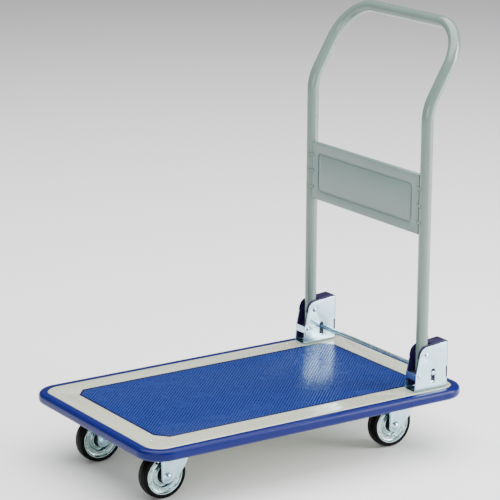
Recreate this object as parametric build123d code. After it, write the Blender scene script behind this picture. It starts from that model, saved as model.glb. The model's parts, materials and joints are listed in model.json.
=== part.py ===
from build123d import *
import math
import os

# Folding platform cart: a pressed steel tray on four casters, with a push handle that folds
# forward over the deck. Millimetres. +X is forward, away from the handle, +Y is the cart's left
# side and +Z is up. The floor is z = 0. Everything is drawn about the middle of the deck and is
# moved along X at the end, so that the origin is under the middle of the whole cart.

# Deck
DECK_LENGTH = 790.0
DECK_WIDTH = 490.0
BUMPER_CORNER_RADIUS = 55.0
BUMPER_THICKNESS = 18.0
BUMPER_HEIGHT = 22.5
BUMPER_ROUNDING = 8.0
BUMPER_LIP_WIDTH = 7.0
BUMPER_TOP_DROP = 0.4
TRAY_SHEET = 1.6
TRAY_DEPTH = 18.0
TRAY_EDGE_RADIUS = 5.0
SKIN_CLEARANCE = 0.2

# Mat
MAT_THICKNESS = 1.2
MAT_FRONT_MARGIN = 66.0
MAT_REAR_MARGIN = 72.0
MAT_SIDE_MARGIN = 71.0
MAT_CORNER_LENGTH = 22.0
MAT_CORNER_WIDTH = 26.0

# Wheels
WHEEL_DIAMETER = 100.0
TYRE_WIDTH = 27.0
TYRE_SHOULDER_RADIUS = 3.5
TYRE_CROWN = 1.2
TYRE_BORE_RADIUS = 27.0
DISC_STEP_WIDTH = 4.0
TYRE_WEB_WIDTH = 14.4
DISC_SHEET = 1.2
DISC_RIM_RADIUS = 40.5
DISC_RIM_STANDOFF = 12.4
DISC_LIP_RADIUS = 17.5
DISC_LIP_STANDOFF = 9.0
DISC_SEAT_WIDTH = 6.0
DISC_RIVET_CIRCLE = 32.0
DISC_RIVET_COUNT = 8
DISC_RIVET_RADIUS = 2.0
DISC_RIVET_HEAD_RADIUS = 3.2
DISC_RIVET_HEAD_HEIGHT = 1.6
HUB_BARREL_RADIUS = 12.0
HUB_COLLAR_RADIUS = 9.0
RUNNING_CLEARANCE = 0.06
SIDE_CLEARANCE = 0.3
FIT_CLEARANCE = 0.02

# Casters
FRONT_AXLE_INSET = 98.0
REAR_KINGPIN_INSET = 96.0
CASTER_SIDE_INSET = 118.0
CASTER_TRAIL = 28.0
FORK_SHEET = 2.5
FORK_WIDTH = 44.0
FORK_RIB_FRONT = 12.0
FORK_RIB_REAR = 15.0
FORK_RIB_MARGIN = 2.5
FORK_END_RADIUS = 14.0
WHEEL_TO_CROWN = 8.0
SWIVEL_HEIGHT = 14.5
CASTER_PLATE_LENGTH = 96.0
CASTER_PLATE_WIDTH = 80.0
CASTER_PLATE_THICKNESS = 3.0
CASTER_BOLT_SPACING_LENGTH = 74.0
CASTER_BOLT_SPACING_WIDTH = 62.0
CASTER_BOLT_RADIUS = 4.0
CASTER_NUT_FLATS = 13.0
CASTER_NUT_HEIGHT = 6.5
CASTER_BOLT_HEAD_HEIGHT = 5.3
RIGID_PLATE_SETBACK = 14.0
AXLE_RADIUS = 5.0
AXLE_HEAD_RADIUS = 10.0
AXLE_HEAD_HEIGHT = 5.5
AXLE_NUT_FLATS = 17.0
AXLE_NUT_HEIGHT = 8.0
AXLE_SLEEVE_RADIUS = 7.0
BALL_RADIUS = 3.0
BALL_CIRCLE = 17.0
BALL_COUNT = 14
BALL_CLEARANCE = 0.1
RACE_WIDTH = 10.0
RACE_GROOVE_DEPTH = 1.5
KINGPIN_RADIUS = 6.0
KINGPIN_HEAD_RADIUS = 10.0
KINGPIN_HEAD_HEIGHT = 3.0

# Cross channels under the deck
CHANNEL_SHEET = 2.0
CHANNEL_DEPTH = 13.9
CHANNEL_WEB = 104.0
CHANNEL_FLANGE = 20.0
CHANNEL_END_MARGIN = 71.0
DECK_RIVET_RADIUS = 2.0
DECK_RIVET_HEAD_RADIUS = 3.4
DECK_RIVET_HEAD_HEIGHT = 0.9
DECK_RIVET_END_INSET = 5.0

# Handle
TUBE_DIAMETER = 25.4
TUBE_WALL = 1.6
HANDLE_SIDE_INSET = 42.5
PIVOT_REAR_INSET = 100.0
PIVOT_HEIGHT = 76.5
CRANK_HEIGHT = 521.5
GRIP_HEIGHT = 682.5
GRIP_SETBACK = 96.0
CRANK_RADIUS = 100.0
GRIP_CORNER_RADIUS = 88.0
TUBE_BELOW_PIVOT = 34.6
PLUG_CAP = 1.6
PLUG_LENGTH = 14.0
BUSH_RADIUS = 6.0

# Panel between the handle's legs
PANEL_BOTTOM = 256.0
PANEL_HEIGHT = 128.0
PANEL_DEPTH = 9.0
PANEL_SHEET = 1.2
PANEL_FORWARD = 4.0
PANEL_EDGE_RADIUS = 3.5
PANEL_GROOVE_WIDTH = 8.0
PANEL_GROOVE_DEPTH = 2.0
PANEL_GROOVE_END_MARGIN = 20.0
PANEL_GROOVE_SIDE_MARGIN = 19.0
PANEL_GROOVE_RADIUS = 14.0
PANEL_TAB_COUNT = 3
PANEL_TAB_PITCH = 36.0
PANEL_TAB_HEIGHT = 5.0
PANEL_TAB_SHEET = 1.5
PANEL_TAB_LENGTH = 9.0
PANEL_TAB_WRAP = 50.0

# Handle brackets
BRACKET_SHEET = 2.2
LEG_CLEARANCE = 0.25
BRACKET_FRONT = 29.0
BRACKET_KNEE_FORWARD = 26.0
BRACKET_KNEE_HEIGHT = 37.5
BRACKET_SHOULDER_FORWARD = 14.0
BRACKET_SHOULDER_RISE = 17.4
BRACKET_SHOULDER_RADIUS = 20.0
BRACKET_TOP_RISE = 24.2
BRACKET_BACK = 55.0
BRACKET_BACK_RADIUS = 4.0
BRACKET_BEND_RADIUS = 5.5
BRACKET_NOTCH_DEPTH = 3.0
BRACKET_NOTCH_LOW = 21.5
BRACKET_NOTCH_HIGH = 46.5
STRIP_LOW = 25.5
STRIP_HIGH = 40.5
STRIP_SETBACK = 0.3
PIVOT_PIN_RADIUS = 4.0
PIVOT_HEAD_RADIUS = 6.0
PIVOT_HEAD_HEIGHT = 2.4
STOP_PIN_RADIUS = 3.0
STOP_PIN_HEAD_RADIUS = 4.8
STOP_PIN_HEAD_HEIGHT = 2.0
STOP_PIN_FORWARD = 18.6
STOP_PIN_DROP = 42.0
STOP_SLEEVE_RADIUS = 5.0
BRACKET_BOLT_FORWARD = 10.0
BRACKET_BOLT_BACK = 43.0
BRACKET_BOLT_RADIUS = 3.0
BRACKET_BOLT_HEAD_RADIUS = 7.0
BRACKET_BOLT_HEAD_HEIGHT = 3.3
BRACKET_NUT_FLATS = 10.0
BRACKET_NUT_HEIGHT = 5.0
BACKING_SHEET = 2.0
BACKING_FRONT = 63.0
BACKING_BACK = 52.0
BACKING_WIDTH = 37.0
BACKING_RIVET_FORWARD = 54.0
BACKING_RIVET_OFFSET = 12.5

# Liners
LINER_SHEET = 2.0
LINER_CLEARANCE = 0.25
LINER_STANDOFF = 3.0
LINER_RIM_DROP = 4.0
LINER_COVER_FRONT = 15.0
LINER_COVER_UNDERSIDE = 17.5
LINER_BACK_HEIGHT = 20.0
LINER_FOOT = 6.5

# Foot-operated lock bar
LOCK_BAR_RADIUS = 4.75
LOCK_BAR_BACK = 18.0
LOCK_BAR_HEIGHT = 36.5
LOCK_BAR_OVERHANG = 1.5
LOCK_TRAVEL = 17.0
LOCK_CLIP_RADIUS = 6.5
LOCK_CLIP_THICKNESS = 1.0
SLOT_FRONT_CLEARANCE = 0.3
SLOT_BACK_CLEARANCE = 0.8
SLOT_ABOVE = 5.0
SLOT_END_CLEARANCE = 0.6
SPRING_RADIUS = 3.6
SPRING_WIRE = 1.0
SPRING_TURNS = 7
SPRING_GUIDE_RADIUS = 2.2
SPRING_GUIDE_HEIGHT = 7.0

# Worked-out places
WHEEL_RADIUS = WHEEL_DIAMETER / 2
CROWN_BOTTOM = WHEEL_DIAMETER + WHEEL_TO_CROWN
CROWN_TOP = CROWN_BOTTOM + FORK_SHEET
PLATE_BOTTOM = CROWN_TOP + SWIVEL_HEIGHT
PLATE_TOP = PLATE_BOTTOM + CASTER_PLATE_THICKNESS
TRAY_UNDERSIDE = PLATE_TOP + CHANNEL_DEPTH
DECK_TOP = TRAY_UNDERSIDE + TRAY_SHEET
TRAY_LENGTH = DECK_LENGTH - 2 * BUMPER_THICKNESS
TRAY_WIDTH = DECK_WIDTH - 2 * BUMPER_THICKNESS
TRAY_CORNER_RADIUS = BUMPER_CORNER_RADIUS - BUMPER_THICKNESS
DECK_FRONT = DECK_LENGTH / 2
DECK_REAR = -DECK_LENGTH / 2
CASTER_Y = DECK_WIDTH / 2 - CASTER_SIDE_INSET
FRONT_AXLE_X = DECK_FRONT - FRONT_AXLE_INSET
KINGPIN_X = DECK_REAR + REAR_KINGPIN_INSET
REAR_AXLE_X = KINGPIN_X + CASTER_TRAIL
RIGID_PLATE_X = FRONT_AXLE_X - RIGID_PLATE_SETBACK
TUBE_RADIUS = TUBE_DIAMETER / 2
LEG_Y = DECK_WIDTH / 2 - HANDLE_SIDE_INSET
PIVOT_X = DECK_REAR + PIVOT_REAR_INSET
PIVOT_Z = DECK_TOP + PIVOT_HEIGHT
CRANK_Z = PIVOT_Z + CRANK_HEIGHT
GRIP_X = PIVOT_X - GRIP_SETBACK
GRIP_Z = PIVOT_Z + GRIP_HEIGHT
BRACKET_GAP = TUBE_DIAMETER + 2 * (LEG_CLEARANCE + LINER_SHEET + LINER_CLEARANCE)
BRACKET_OUTER = BRACKET_GAP / 2 + BRACKET_SHEET
LINER_OUTER = BRACKET_GAP / 2 - LINER_CLEARANCE
LINER_INNER = LINER_OUTER - LINER_SHEET
LOCK_BAR_X = PIVOT_X - LOCK_BAR_BACK
LOCK_BAR_Z = DECK_TOP + LOCK_BAR_HEIGHT
WEB_TOP = DECK_TOP + BRACKET_SHEET
FORK_INNER = FORK_WIDTH / 2 - FORK_SHEET
FORK_RECESS = FORK_WIDTH / 2 - 2 * FORK_SHEET
HUB_BARREL_HALF = FORK_RECESS - 2 * SIDE_CLEARANCE
HUB_COLLAR_HALF = FORK_INNER - SIDE_CLEARANCE

# The cart reaches from the back of the grip to the front of the bumper.
ORIGIN_X = (DECK_FRONT + GRIP_X - TUBE_RADIUS) / 2


def write(node, solids):
    """Move one sub-part, or a group of alike ones, to the cart's origin and write it."""
    pieces = [Pos(-ORIGIN_X, 0, 0) * solid for solid in solids]
    shape = pieces[0] if len(pieces) == 1 else Compound(children=pieces)
    export_step(shape, f"parts/{node}.step")


def slab(face, low, high):
    """Give an outline drawn as (x, z) a thickness from y = low to y = high."""
    return extrude(Plane.XZ.offset(-high) * face, amount=high - low)


def post(radius, low, high, x=0.0, y=0.0):
    """An upright round bar."""
    return Pos(x, y, (low + high) / 2) * Cylinder(radius, high - low)


def cross_bar(radius, low, high, x, z):
    """A round bar along Y."""
    return Pos(x, (low + high) / 2, z) * Rot(X=-90) * Cylinder(radius, high - low)


def dome(radius, height):
    """A low domed head that stands on z = 0."""
    ball = (radius**2 + height**2) / (2 * height)
    rise = math.sqrt(ball**2 - (radius / 2) ** 2) - (ball - height)
    flat = Line((0, 0), (radius, 0))
    curve = ThreePointArc((radius, 0), (radius / 2, rise), (0, height))
    middle = Line((0, height), (0, 0))
    return revolve(Plane.XZ * make_face([flat, curve, middle]), Axis.Z)


def hex_nut(flats, height, bore):
    """A nut that stands on z = 0, with its corners turned off at both faces."""
    corner = flats / math.sqrt(3)
    body = extrude(RegularPolygon(corner, 6), amount=height)
    turned = Pos(0, 0, height / 2) * Cylinder(corner * 0.985, height)
    turned = chamfer(turned.edges().filter_by(GeomType.CIRCLE), corner * 0.1)
    return (body & turned) - Cylinder(bore, 3 * height)


def rounded_slab(length, width, radius, low, high):
    """An upright prism with a rounded rectangle as its plan."""
    return Pos(0, 0, low) * extrude(RectangleRounded(length, width, radius), amount=high - low)


def both_sides(solid):
    """A solid on the left and its mirror image on the right."""
    return [solid, mirror(solid, about=Plane.XZ)]


# ---------------------------------------------------------------- deck
def make_tray():
    """The pressed deck: a flat top with its edges turned down, and holes for what it carries."""
    low = DECK_TOP - TRAY_DEPTH
    outside = rounded_slab(TRAY_LENGTH, TRAY_WIDTH, TRAY_CORNER_RADIUS, low, DECK_TOP)
    outside = fillet(outside.faces().sort_by(Axis.Z)[-1].edges(), TRAY_EDGE_RADIUS)
    inside = rounded_slab(
        TRAY_LENGTH - 2 * TRAY_SHEET,
        TRAY_WIDTH - 2 * TRAY_SHEET,
        TRAY_CORNER_RADIUS - TRAY_SHEET,
        low,
        TRAY_UNDERSIDE,
    )
    inside = fillet(inside.faces().sort_by(Axis.Z)[-1].edges(), TRAY_EDGE_RADIUS - TRAY_SHEET)
    tray = outside - inside
    for x, y in bracket_bolt_places():
        tray -= post(BRACKET_BOLT_RADIUS + FIT_CLEARANCE, low, DECK_TOP + 1, x, y)
    for x, y in deck_rivet_places():
        tray -= post(DECK_RIVET_RADIUS + FIT_CLEARANCE, low, DECK_TOP + 1, x, y)
    return tray


def make_bumper():
    """A soft moulded edge with a rounded face, whose lip hooks under the tray's turned edge."""
    top = DECK_TOP - BUMPER_TOP_DROP
    bottom = top - BUMPER_HEIGHT
    flange_bottom = DECK_TOP - TRAY_DEPTH
    outside = rounded_slab(DECK_LENGTH, DECK_WIDTH, BUMPER_CORNER_RADIUS, bottom, top)
    outside = fillet(outside.faces().sort_by(Axis.Z)[-1].edges(), BUMPER_ROUNDING)
    outside = fillet(outside.faces().sort_by(Axis.Z)[0].edges(), BUMPER_ROUNDING)
    seat = rounded_slab(
        TRAY_LENGTH + 2 * SKIN_CLEARANCE,
        TRAY_WIDTH + 2 * SKIN_CLEARANCE,
        TRAY_CORNER_RADIUS + SKIN_CLEARANCE,
        flange_bottom - SKIN_CLEARANCE,
        top + 1,
    )
    middle = rounded_slab(
        TRAY_LENGTH - 2 * BUMPER_LIP_WIDTH,
        TRAY_WIDTH - 2 * BUMPER_LIP_WIDTH,
        TRAY_CORNER_RADIUS - BUMPER_LIP_WIDTH,
        bottom - 1,
        top + 1,
    )
    return outside - seat - middle


def make_mat():
    """A thin ribbed sheet with its four corners cut off."""
    front = DECK_FRONT - MAT_FRONT_MARGIN
    rear = DECK_REAR + MAT_REAR_MARGIN
    side = DECK_WIDTH / 2 - MAT_SIDE_MARGIN
    points = [
        (front, side - MAT_CORNER_WIDTH),
        (front - MAT_CORNER_LENGTH, side),
        (rear + MAT_CORNER_LENGTH, side),
        (rear, side - MAT_CORNER_WIDTH),
    ]
    outline = points + [(x, -y) for x, y in reversed(points)]
    sheet = extrude(make_face(Polyline(*outline, close=True)), amount=MAT_THICKNESS)
    return Pos(0, 0, DECK_TOP) * sheet


def make_channel(x):
    """A top-hat channel across the deck, which carries a pair of caster plates."""
    web = CHANNEL_WEB / 2
    brim = web + CHANNEL_FLANGE
    low = PLATE_TOP
    high = TRAY_UNDERSIDE
    half = [
        (web, low),
        (web, high - CHANNEL_SHEET),
        (brim, high - CHANNEL_SHEET),
        (brim, high),
        (web - CHANNEL_SHEET, high),
        (web - CHANNEL_SHEET, low + CHANNEL_SHEET),
    ]
    outline = half + [(-px, pz) for px, pz in reversed(half)]
    reach = DECK_WIDTH / 2 - CHANNEL_END_MARGIN
    channel = Pos(x, 0, 0) * slab(make_face(Polyline(*outline, close=True)), -reach, reach)
    for bx, by in caster_bolt_places(x):
        channel -= post(CASTER_BOLT_RADIUS + FIT_CLEARANCE, low - 1, low + CHANNEL_SHEET + 1, bx, by)
    for rx, ry in channel_rivet_places():
        channel -= post(DECK_RIVET_RADIUS + FIT_CLEARANCE, high - CHANNEL_SHEET - 1, high + 1, rx, ry)
    return channel


def caster_bolt_places(x):
    """The four holes of each of the two caster plates at x."""
    half_length = CASTER_BOLT_SPACING_LENGTH / 2
    half_width = CASTER_BOLT_SPACING_WIDTH / 2
    places = []
    for side in (1, -1):
        for dx in (-half_length, half_length):
            for dy in (-half_width, half_width):
                places.append((x + dx, side * (CASTER_Y + dy)))
    return places


def channel_rivet_places():
    """Rivets through the outer brim of each channel, near its ends."""
    out = CHANNEL_WEB / 2 + CHANNEL_FLANGE / 2 + 2
    y = DECK_WIDTH / 2 - CHANNEL_END_MARGIN - DECK_RIVET_END_INSET
    return [(x, side * y) for x in (RIGID_PLATE_X + out, KINGPIN_X - out) for side in (1, -1)]


def backing_rivet_places():
    """Rivets through the front end of each bracket's backing plate."""
    x = PIVOT_X + BACKING_RIVET_FORWARD
    return [(x, side * (LEG_Y + BACKING_RIVET_OFFSET)) for side in (1, -1)]


def deck_rivet_places():
    return channel_rivet_places() + backing_rivet_places()


def bracket_bolt_places():
    xs = (PIVOT_X + BRACKET_BOLT_FORWARD, PIVOT_X - BRACKET_BOLT_BACK)
    return [(x, side * LEG_Y) for x in xs for side in (1, -1)]


def make_deck_rivet(x, y, sheet_below):
    """A rivet through the tray and the sheet under it, with a low head on each side."""
    low = TRAY_UNDERSIDE - sheet_below
    head = dome(DECK_RIVET_HEAD_RADIUS, DECK_RIVET_HEAD_HEIGHT)
    rivet = post(DECK_RIVET_RADIUS, low, DECK_TOP, x, y)
    rivet += Pos(x, y, DECK_TOP) * head
    rivet += Pos(x, y, low) * Rot(X=180) * head
    return rivet


# ---------------------------------------------------------------- casters
def fork_outline(wing, top):
    """One leg of a fork as (x, z) from the axle: upright at the front, its back edge swept out."""
    start = (0, -FORK_END_RADIUS)
    nose = (FORK_RIB_FRONT, -0.3 * FORK_END_RADIUS)
    arc = ThreePointArc(start, (0.66 * FORK_END_RADIUS, -0.75 * FORK_END_RADIUS), nose)
    edges = [arc, Line(nose, (FORK_RIB_FRONT, top)), Line((FORK_RIB_FRONT, top), (wing[-1][0], top))]
    corners = [(wing[-1][0], top)] + list(reversed(wing))
    for here, there in zip(corners[:-1], corners[1:]):
        edges.append(Line(here, there))
    tail = wing[0]
    bulge = (0.62 * tail[0], 0.5 * (tail[1] - FORK_END_RADIUS) - 0.13 * FORK_END_RADIUS)
    edges.append(ThreePointArc(tail, bulge, start))
    return make_face(edges)


def rib_outline(grow, top):
    """The raised rib down the front of a leg, round at its lower end."""
    front = FORK_RIB_FRONT + grow
    rear = FORK_RIB_REAR + grow
    bottom = FORK_END_RADIUS + grow
    arc = ThreePointArc((-rear, 0), (0, -bottom), (front, 0))
    sides = [Line((front, 0), (front, top)), Line((front, top), (-rear, top)), Line((-rear, top), (-rear, 0))]
    return make_face([arc] + sides)


def make_leg(wing, top):
    """A fork leg pressed from one sheet: a flat outline with the rib pushed out of it."""
    outer = FORK_WIDTH / 2
    blank = slab(fork_outline(wing, top), FORK_RECESS, outer - FORK_SHEET)
    rib = slab(rib_outline(0, top), FORK_RECESS, outer)
    hollow = slab(rib_outline(-FORK_RIB_MARGIN, top), FORK_RECESS - 1, FORK_INNER)
    leg = blank + rib - hollow
    return leg - cross_bar(AXLE_RADIUS + FIT_CLEARANCE, FORK_RECESS - 1, outer + 1, 0, 0)


FRONT_WING = [(-13.5, -9.0), (-31.0, 1.0), (-42.0, 14.0), (-49.0, 28.0), (-54.0, 46.0)]
REAR_WING = [(-14.5, -2.5), (-22.0, 1.0), (-31.0, 6.0), (-41.0, 18.0), (-47.0, 29.0), (-51.0, 42.0)]


def make_front_fork(side):
    """A rigid caster's body: a top plate with two legs welded to it, outlined about the axle."""
    top = PLATE_BOTTOM - WHEEL_RADIUS
    leg = make_leg(FRONT_WING, top)
    legs = leg + mirror(leg, about=Plane.XZ)
    plate = rounded_slab(CASTER_PLATE_LENGTH, CASTER_PLATE_WIDTH, 6, top, top + CASTER_PLATE_THICKNESS)
    fork = legs + Pos(-RIGID_PLATE_SETBACK, 0, 0) * plate
    fork = Pos(FRONT_AXLE_X, side * CASTER_Y, WHEEL_RADIUS) * fork
    return fork - [
        post(CASTER_BOLT_RADIUS + FIT_CLEARANCE, PLATE_BOTTOM - 1, PLATE_TOP + 1, x, y)
        for x, y in caster_bolt_places(RIGID_PLATE_X)
        if y * side > 0
    ]


def race_groove(level):
    """The ring that the swivel balls roll in."""
    return Pos(0, 0, level) * Torus(BALL_CIRCLE, BALL_RADIUS + BALL_CLEARANCE)


def make_rear_fork(side):
    """A swivel caster's yoke, with the lower ball race on its crown."""
    crown = CROWN_BOTTOM - WHEEL_RADIUS
    leg = make_leg(REAR_WING, crown)
    fork = leg + mirror(leg, about=Plane.XZ)
    front = FORK_RIB_FRONT
    rear = REAR_WING[-1][0]
    plate = rounded_slab(front - rear, FORK_WIDTH, 5, crown, crown + FORK_SHEET)
    fork += Pos((front + rear) / 2, 0, 0) * plate
    race_top = crown + FORK_SHEET + SWIVEL_HEIGHT / 2 - BALL_RADIUS + RACE_GROOVE_DEPTH
    race = post(BALL_CIRCLE + RACE_WIDTH / 2, crown + FORK_SHEET, race_top)
    race -= post(BALL_CIRCLE - RACE_WIDTH / 2, crown, race_top + 1)
    race -= race_groove(crown + FORK_SHEET + SWIVEL_HEIGHT / 2)
    fork += Pos(-CASTER_TRAIL, 0, 0) * race
    bore = post(KINGPIN_RADIUS + RUNNING_CLEARANCE, crown - 1, race_top + 1, -CASTER_TRAIL)
    return Pos(REAR_AXLE_X, side * CASTER_Y, WHEEL_RADIUS) * (fork - bore)


def make_rear_top_plate(side):
    """A swivel caster's top plate, with the upper ball race on its underside."""
    plate = rounded_slab(CASTER_PLATE_LENGTH, CASTER_PLATE_WIDTH, 6, PLATE_BOTTOM, PLATE_TOP)
    middle = CROWN_TOP + SWIVEL_HEIGHT / 2
    race_low = middle + BALL_RADIUS - RACE_GROOVE_DEPTH
    race = post(BALL_CIRCLE + RACE_WIDTH / 2, race_low, PLATE_BOTTOM)
    race -= race_groove(middle)
    plate += race
    plate -= post(KINGPIN_RADIUS + FIT_CLEARANCE, race_low - 1, PLATE_TOP + 1)
    plate = Pos(KINGPIN_X, side * CASTER_Y, 0) * plate
    return plate - [
        post(CASTER_BOLT_RADIUS + FIT_CLEARANCE, PLATE_BOTTOM - 1, PLATE_TOP + 1, x, y)
        for x, y in caster_bolt_places(KINGPIN_X)
        if y * side > 0
    ]


def make_kingpin():
    """The headed pin that holds a yoke up against its top plate."""
    low = CROWN_BOTTOM - SIDE_CLEARANCE
    pin = post(KINGPIN_RADIUS, low, PLATE_TOP)
    return pin + Pos(0, 0, low) * Rot(X=180) * dome(KINGPIN_HEAD_RADIUS, KINGPIN_HEAD_HEIGHT)


def make_balls():
    """The ring of balls between the two races."""
    level = CROWN_TOP + SWIVEL_HEIGHT / 2
    step = 2 * math.pi / BALL_COUNT
    return [
        Pos(BALL_CIRCLE * math.cos(i * step), BALL_CIRCLE * math.sin(i * step), level) * Sphere(BALL_RADIUS)
        for i in range(BALL_COUNT)
    ]


def make_caster_bolt(x, y):
    """A bolt that stands through a channel and a caster plate, with its head inside the channel."""
    head_low = PLATE_TOP + CHANNEL_SHEET
    end = PLATE_BOTTOM - CASTER_NUT_HEIGHT - 1
    bolt = post(CASTER_BOLT_RADIUS, end, head_low, x, y)
    head = extrude(RegularPolygon(CASTER_NUT_FLATS / math.sqrt(3), 6), amount=CASTER_BOLT_HEAD_HEIGHT)
    return bolt + Pos(x, y, head_low) * head


# ---------------------------------------------------------------- wheels, drawn about the axle
def make_tyre():
    """A rubber ring with a wide tread and a narrow web that the two discs clamp."""
    tread = TYRE_WIDTH / 2
    web = TYRE_WEB_WIDTH / 2
    seat = DISC_RIM_STANDOFF - DISC_SHEET - SKIN_CLEARANCE
    pocket = DISC_RIM_RADIUS + SKIN_CLEARANCE
    shoulder = TYRE_SHOULDER_RADIUS
    crown = (WHEEL_RADIUS - TYRE_CROWN, tread - shoulder)
    wall = (crown[0] - shoulder, tread)
    turn = (crown[0] - 0.29 * shoulder, tread - 0.29 * shoulder)
    profile = [
        (TYRE_BORE_RADIUS, web),
        (DISC_RIM_RADIUS - 5.0, web),
        (DISC_RIM_RADIUS - 1.0, seat),
        (pocket, seat),
        (pocket, tread - 0.6),
        wall,
    ]
    right = [(r, -y) for r, y in reversed(profile)]
    edges = [Line(a, b) for a, b in zip(profile[:-1], profile[1:])]
    edges.append(ThreePointArc(wall, turn, crown))
    edges.append(ThreePointArc(crown, (WHEEL_RADIUS, 0), (crown[0], -crown[1])))
    edges.append(ThreePointArc((crown[0], -crown[1]), (turn[0], -turn[1]), right[0]))
    edges += [Line(a, b) for a, b in zip(right[:-1], right[1:])]
    edges.append(Line(right[-1], profile[0]))
    tyre = revolve(Plane.XY * make_face(edges), Axis.Y)
    for turn in range(DISC_RIVET_COUNT):
        x, z = rivet_place(turn)
        tyre -= cross_bar(DISC_RIVET_RADIUS + FIT_CLEARANCE, -tread, tread, x, z)
    return tyre


def rivet_place(turn):
    angle = 2 * math.pi * (turn + 0.5) / DISC_RIVET_COUNT
    return DISC_RIVET_CIRCLE * math.cos(angle), DISC_RIVET_CIRCLE * math.sin(angle)


def make_disc():
    """The left pressed disc: a dished ring with a standing rim, a flat for the rivets and a lip."""
    web = TYRE_WEB_WIDTH / 2
    seat = DISC_SEAT_WIDTH / 2
    sheet = DISC_SHEET
    rim = DISC_RIM_RADIUS
    lip = DISC_LIP_RADIUS
    face = [
        (rim, DISC_RIM_STANDOFF),
        (rim - 2.5, DISC_RIM_STANDOFF),
        (rim - 5.0, web + sheet),
        (TYRE_BORE_RADIUS, web + sheet),
        (TYRE_BORE_RADIUS - DISC_STEP_WIDTH, seat + sheet),
        (lip + 2.5, seat + sheet),
        (lip + sheet * 0.4, DISC_LIP_STANDOFF),
        (lip - sheet * 0.6, DISC_LIP_STANDOFF),
        (lip + 1.0, seat),
        (TYRE_BORE_RADIUS - DISC_STEP_WIDTH - 0.8, seat),
        (TYRE_BORE_RADIUS - 0.8, web),
        (rim - 5.2, web),
        (rim - 1.2, DISC_RIM_STANDOFF - sheet),
        (rim, DISC_RIM_STANDOFF - sheet),
    ]
    disc = revolve(Plane.XY * make_face(Polyline(*face, close=True)), Axis.Y)
    for turn in range(DISC_RIVET_COUNT):
        x, z = rivet_place(turn)
        disc -= cross_bar(DISC_RIVET_RADIUS + FIT_CLEARANCE, 0, web + 2 * sheet, x, z)
    return disc


def make_disc_rivet(turn):
    """A rivet through both discs and the rubber between them."""
    x, z = rivet_place(turn)
    reach = TYRE_WEB_WIDTH / 2 + DISC_SHEET
    head = dome(DISC_RIVET_HEAD_RADIUS, DISC_RIVET_HEAD_HEIGHT)
    rivet = cross_bar(DISC_RIVET_RADIUS, -reach, reach, x, z)
    rivet += Pos(x, reach, z) * Rot(X=-90) * head
    return rivet + Pos(x, -reach, z) * Rot(X=90) * head


def make_hub():
    """The hub bearing: a flange between the discs, a barrel and a collar at each end."""
    flange = DISC_SEAT_WIDTH / 2
    hub = cross_bar(HUB_BARREL_RADIUS, -HUB_BARREL_HALF, HUB_BARREL_HALF, 0, 0)
    hub += cross_bar(TYRE_BORE_RADIUS - DISC_STEP_WIDTH - 1.2, -flange, flange, 0, 0)
    hub += cross_bar(HUB_COLLAR_RADIUS, -HUB_COLLAR_HALF, HUB_COLLAR_HALF, 0, 0)
    return hub - cross_bar(AXLE_SLEEVE_RADIUS + RUNNING_CLEARANCE, -FORK_WIDTH, FORK_WIDTH, 0, 0)


def make_axle_bolt():
    """A dome-headed bolt from the outer leg through to the inner one."""
    outer = FORK_WIDTH / 2
    end = -outer - AXLE_NUT_HEIGHT - 2
    bolt = cross_bar(AXLE_RADIUS, end, outer, 0, 0)
    return bolt + Pos(0, outer, 0) * Rot(X=-90) * dome(AXLE_HEAD_RADIUS, AXLE_HEAD_HEIGHT)


def make_axle_nut():
    nut = hex_nut(AXLE_NUT_FLATS, AXLE_NUT_HEIGHT, AXLE_RADIUS + FIT_CLEARANCE)
    return Pos(0, -FORK_WIDTH / 2, 0) * Rot(X=90) * nut


def make_axle_sleeve():
    """The spacer that the hub turns on, clamped between the two legs."""
    sleeve = cross_bar(AXLE_SLEEVE_RADIUS, -FORK_INNER, FORK_INNER, 0, 0)
    return sleeve - cross_bar(AXLE_RADIUS + FIT_CLEARANCE, -FORK_WIDTH, FORK_WIDTH, 0, 0)


def at_axle(solid, x, side):
    """Put a left-hand wheel part at its axle, mirrored for the right-hand side."""
    if side < 0:
        solid = mirror(solid, about=Plane.XZ)
    return Pos(x, side * CASTER_Y, WHEEL_RADIUS) * solid


# ---------------------------------------------------------------- handle brackets
def bracket_outline(back):
    """A bracket's side as (x, z): leaning front, rounded shoulder, long top and upright back."""
    points = [
        (PIVOT_X + BRACKET_FRONT, DECK_TOP),
        (PIVOT_X + BRACKET_KNEE_FORWARD, DECK_TOP + BRACKET_KNEE_HEIGHT),
        (PIVOT_X + BRACKET_SHOULDER_FORWARD, PIVOT_Z + BRACKET_SHOULDER_RISE),
        (PIVOT_X - back, PIVOT_Z + BRACKET_TOP_RISE),
        (PIVOT_X - back, DECK_TOP),
    ]
    face = make_face(Polyline(*points, close=True))
    shoulder = face.vertices().sort_by_distance((points[2][0], points[2][1], 0))[0]
    face = fillet(shoulder, BRACKET_SHOULDER_RADIUS)
    heel = face.vertices().sort_by_distance((points[3][0], points[3][1], 0))[0]
    return fillet(heel, BRACKET_BACK_RADIUS)


def lock_slot(grow, low, high):
    """The slot that the lock bar drops down, cut from y = low to y = high."""
    front = LOCK_BAR_X + LOCK_BAR_RADIUS + SLOT_FRONT_CLEARANCE + grow
    back = LOCK_BAR_X - LOCK_BAR_RADIUS - SLOT_BACK_CLEARANCE - grow
    bottom = LOCK_BAR_Z - LOCK_TRAVEL - LOCK_BAR_RADIUS - SLOT_END_CLEARANCE - grow
    top = LOCK_BAR_Z + LOCK_BAR_RADIUS + SLOT_ABOVE + grow
    width = front - back
    face = Pos((front + back) / 2, (top + bottom) / 2) * SlotOverall(top - bottom, width, rotation=90)
    return slab(face, low, high)


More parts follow.
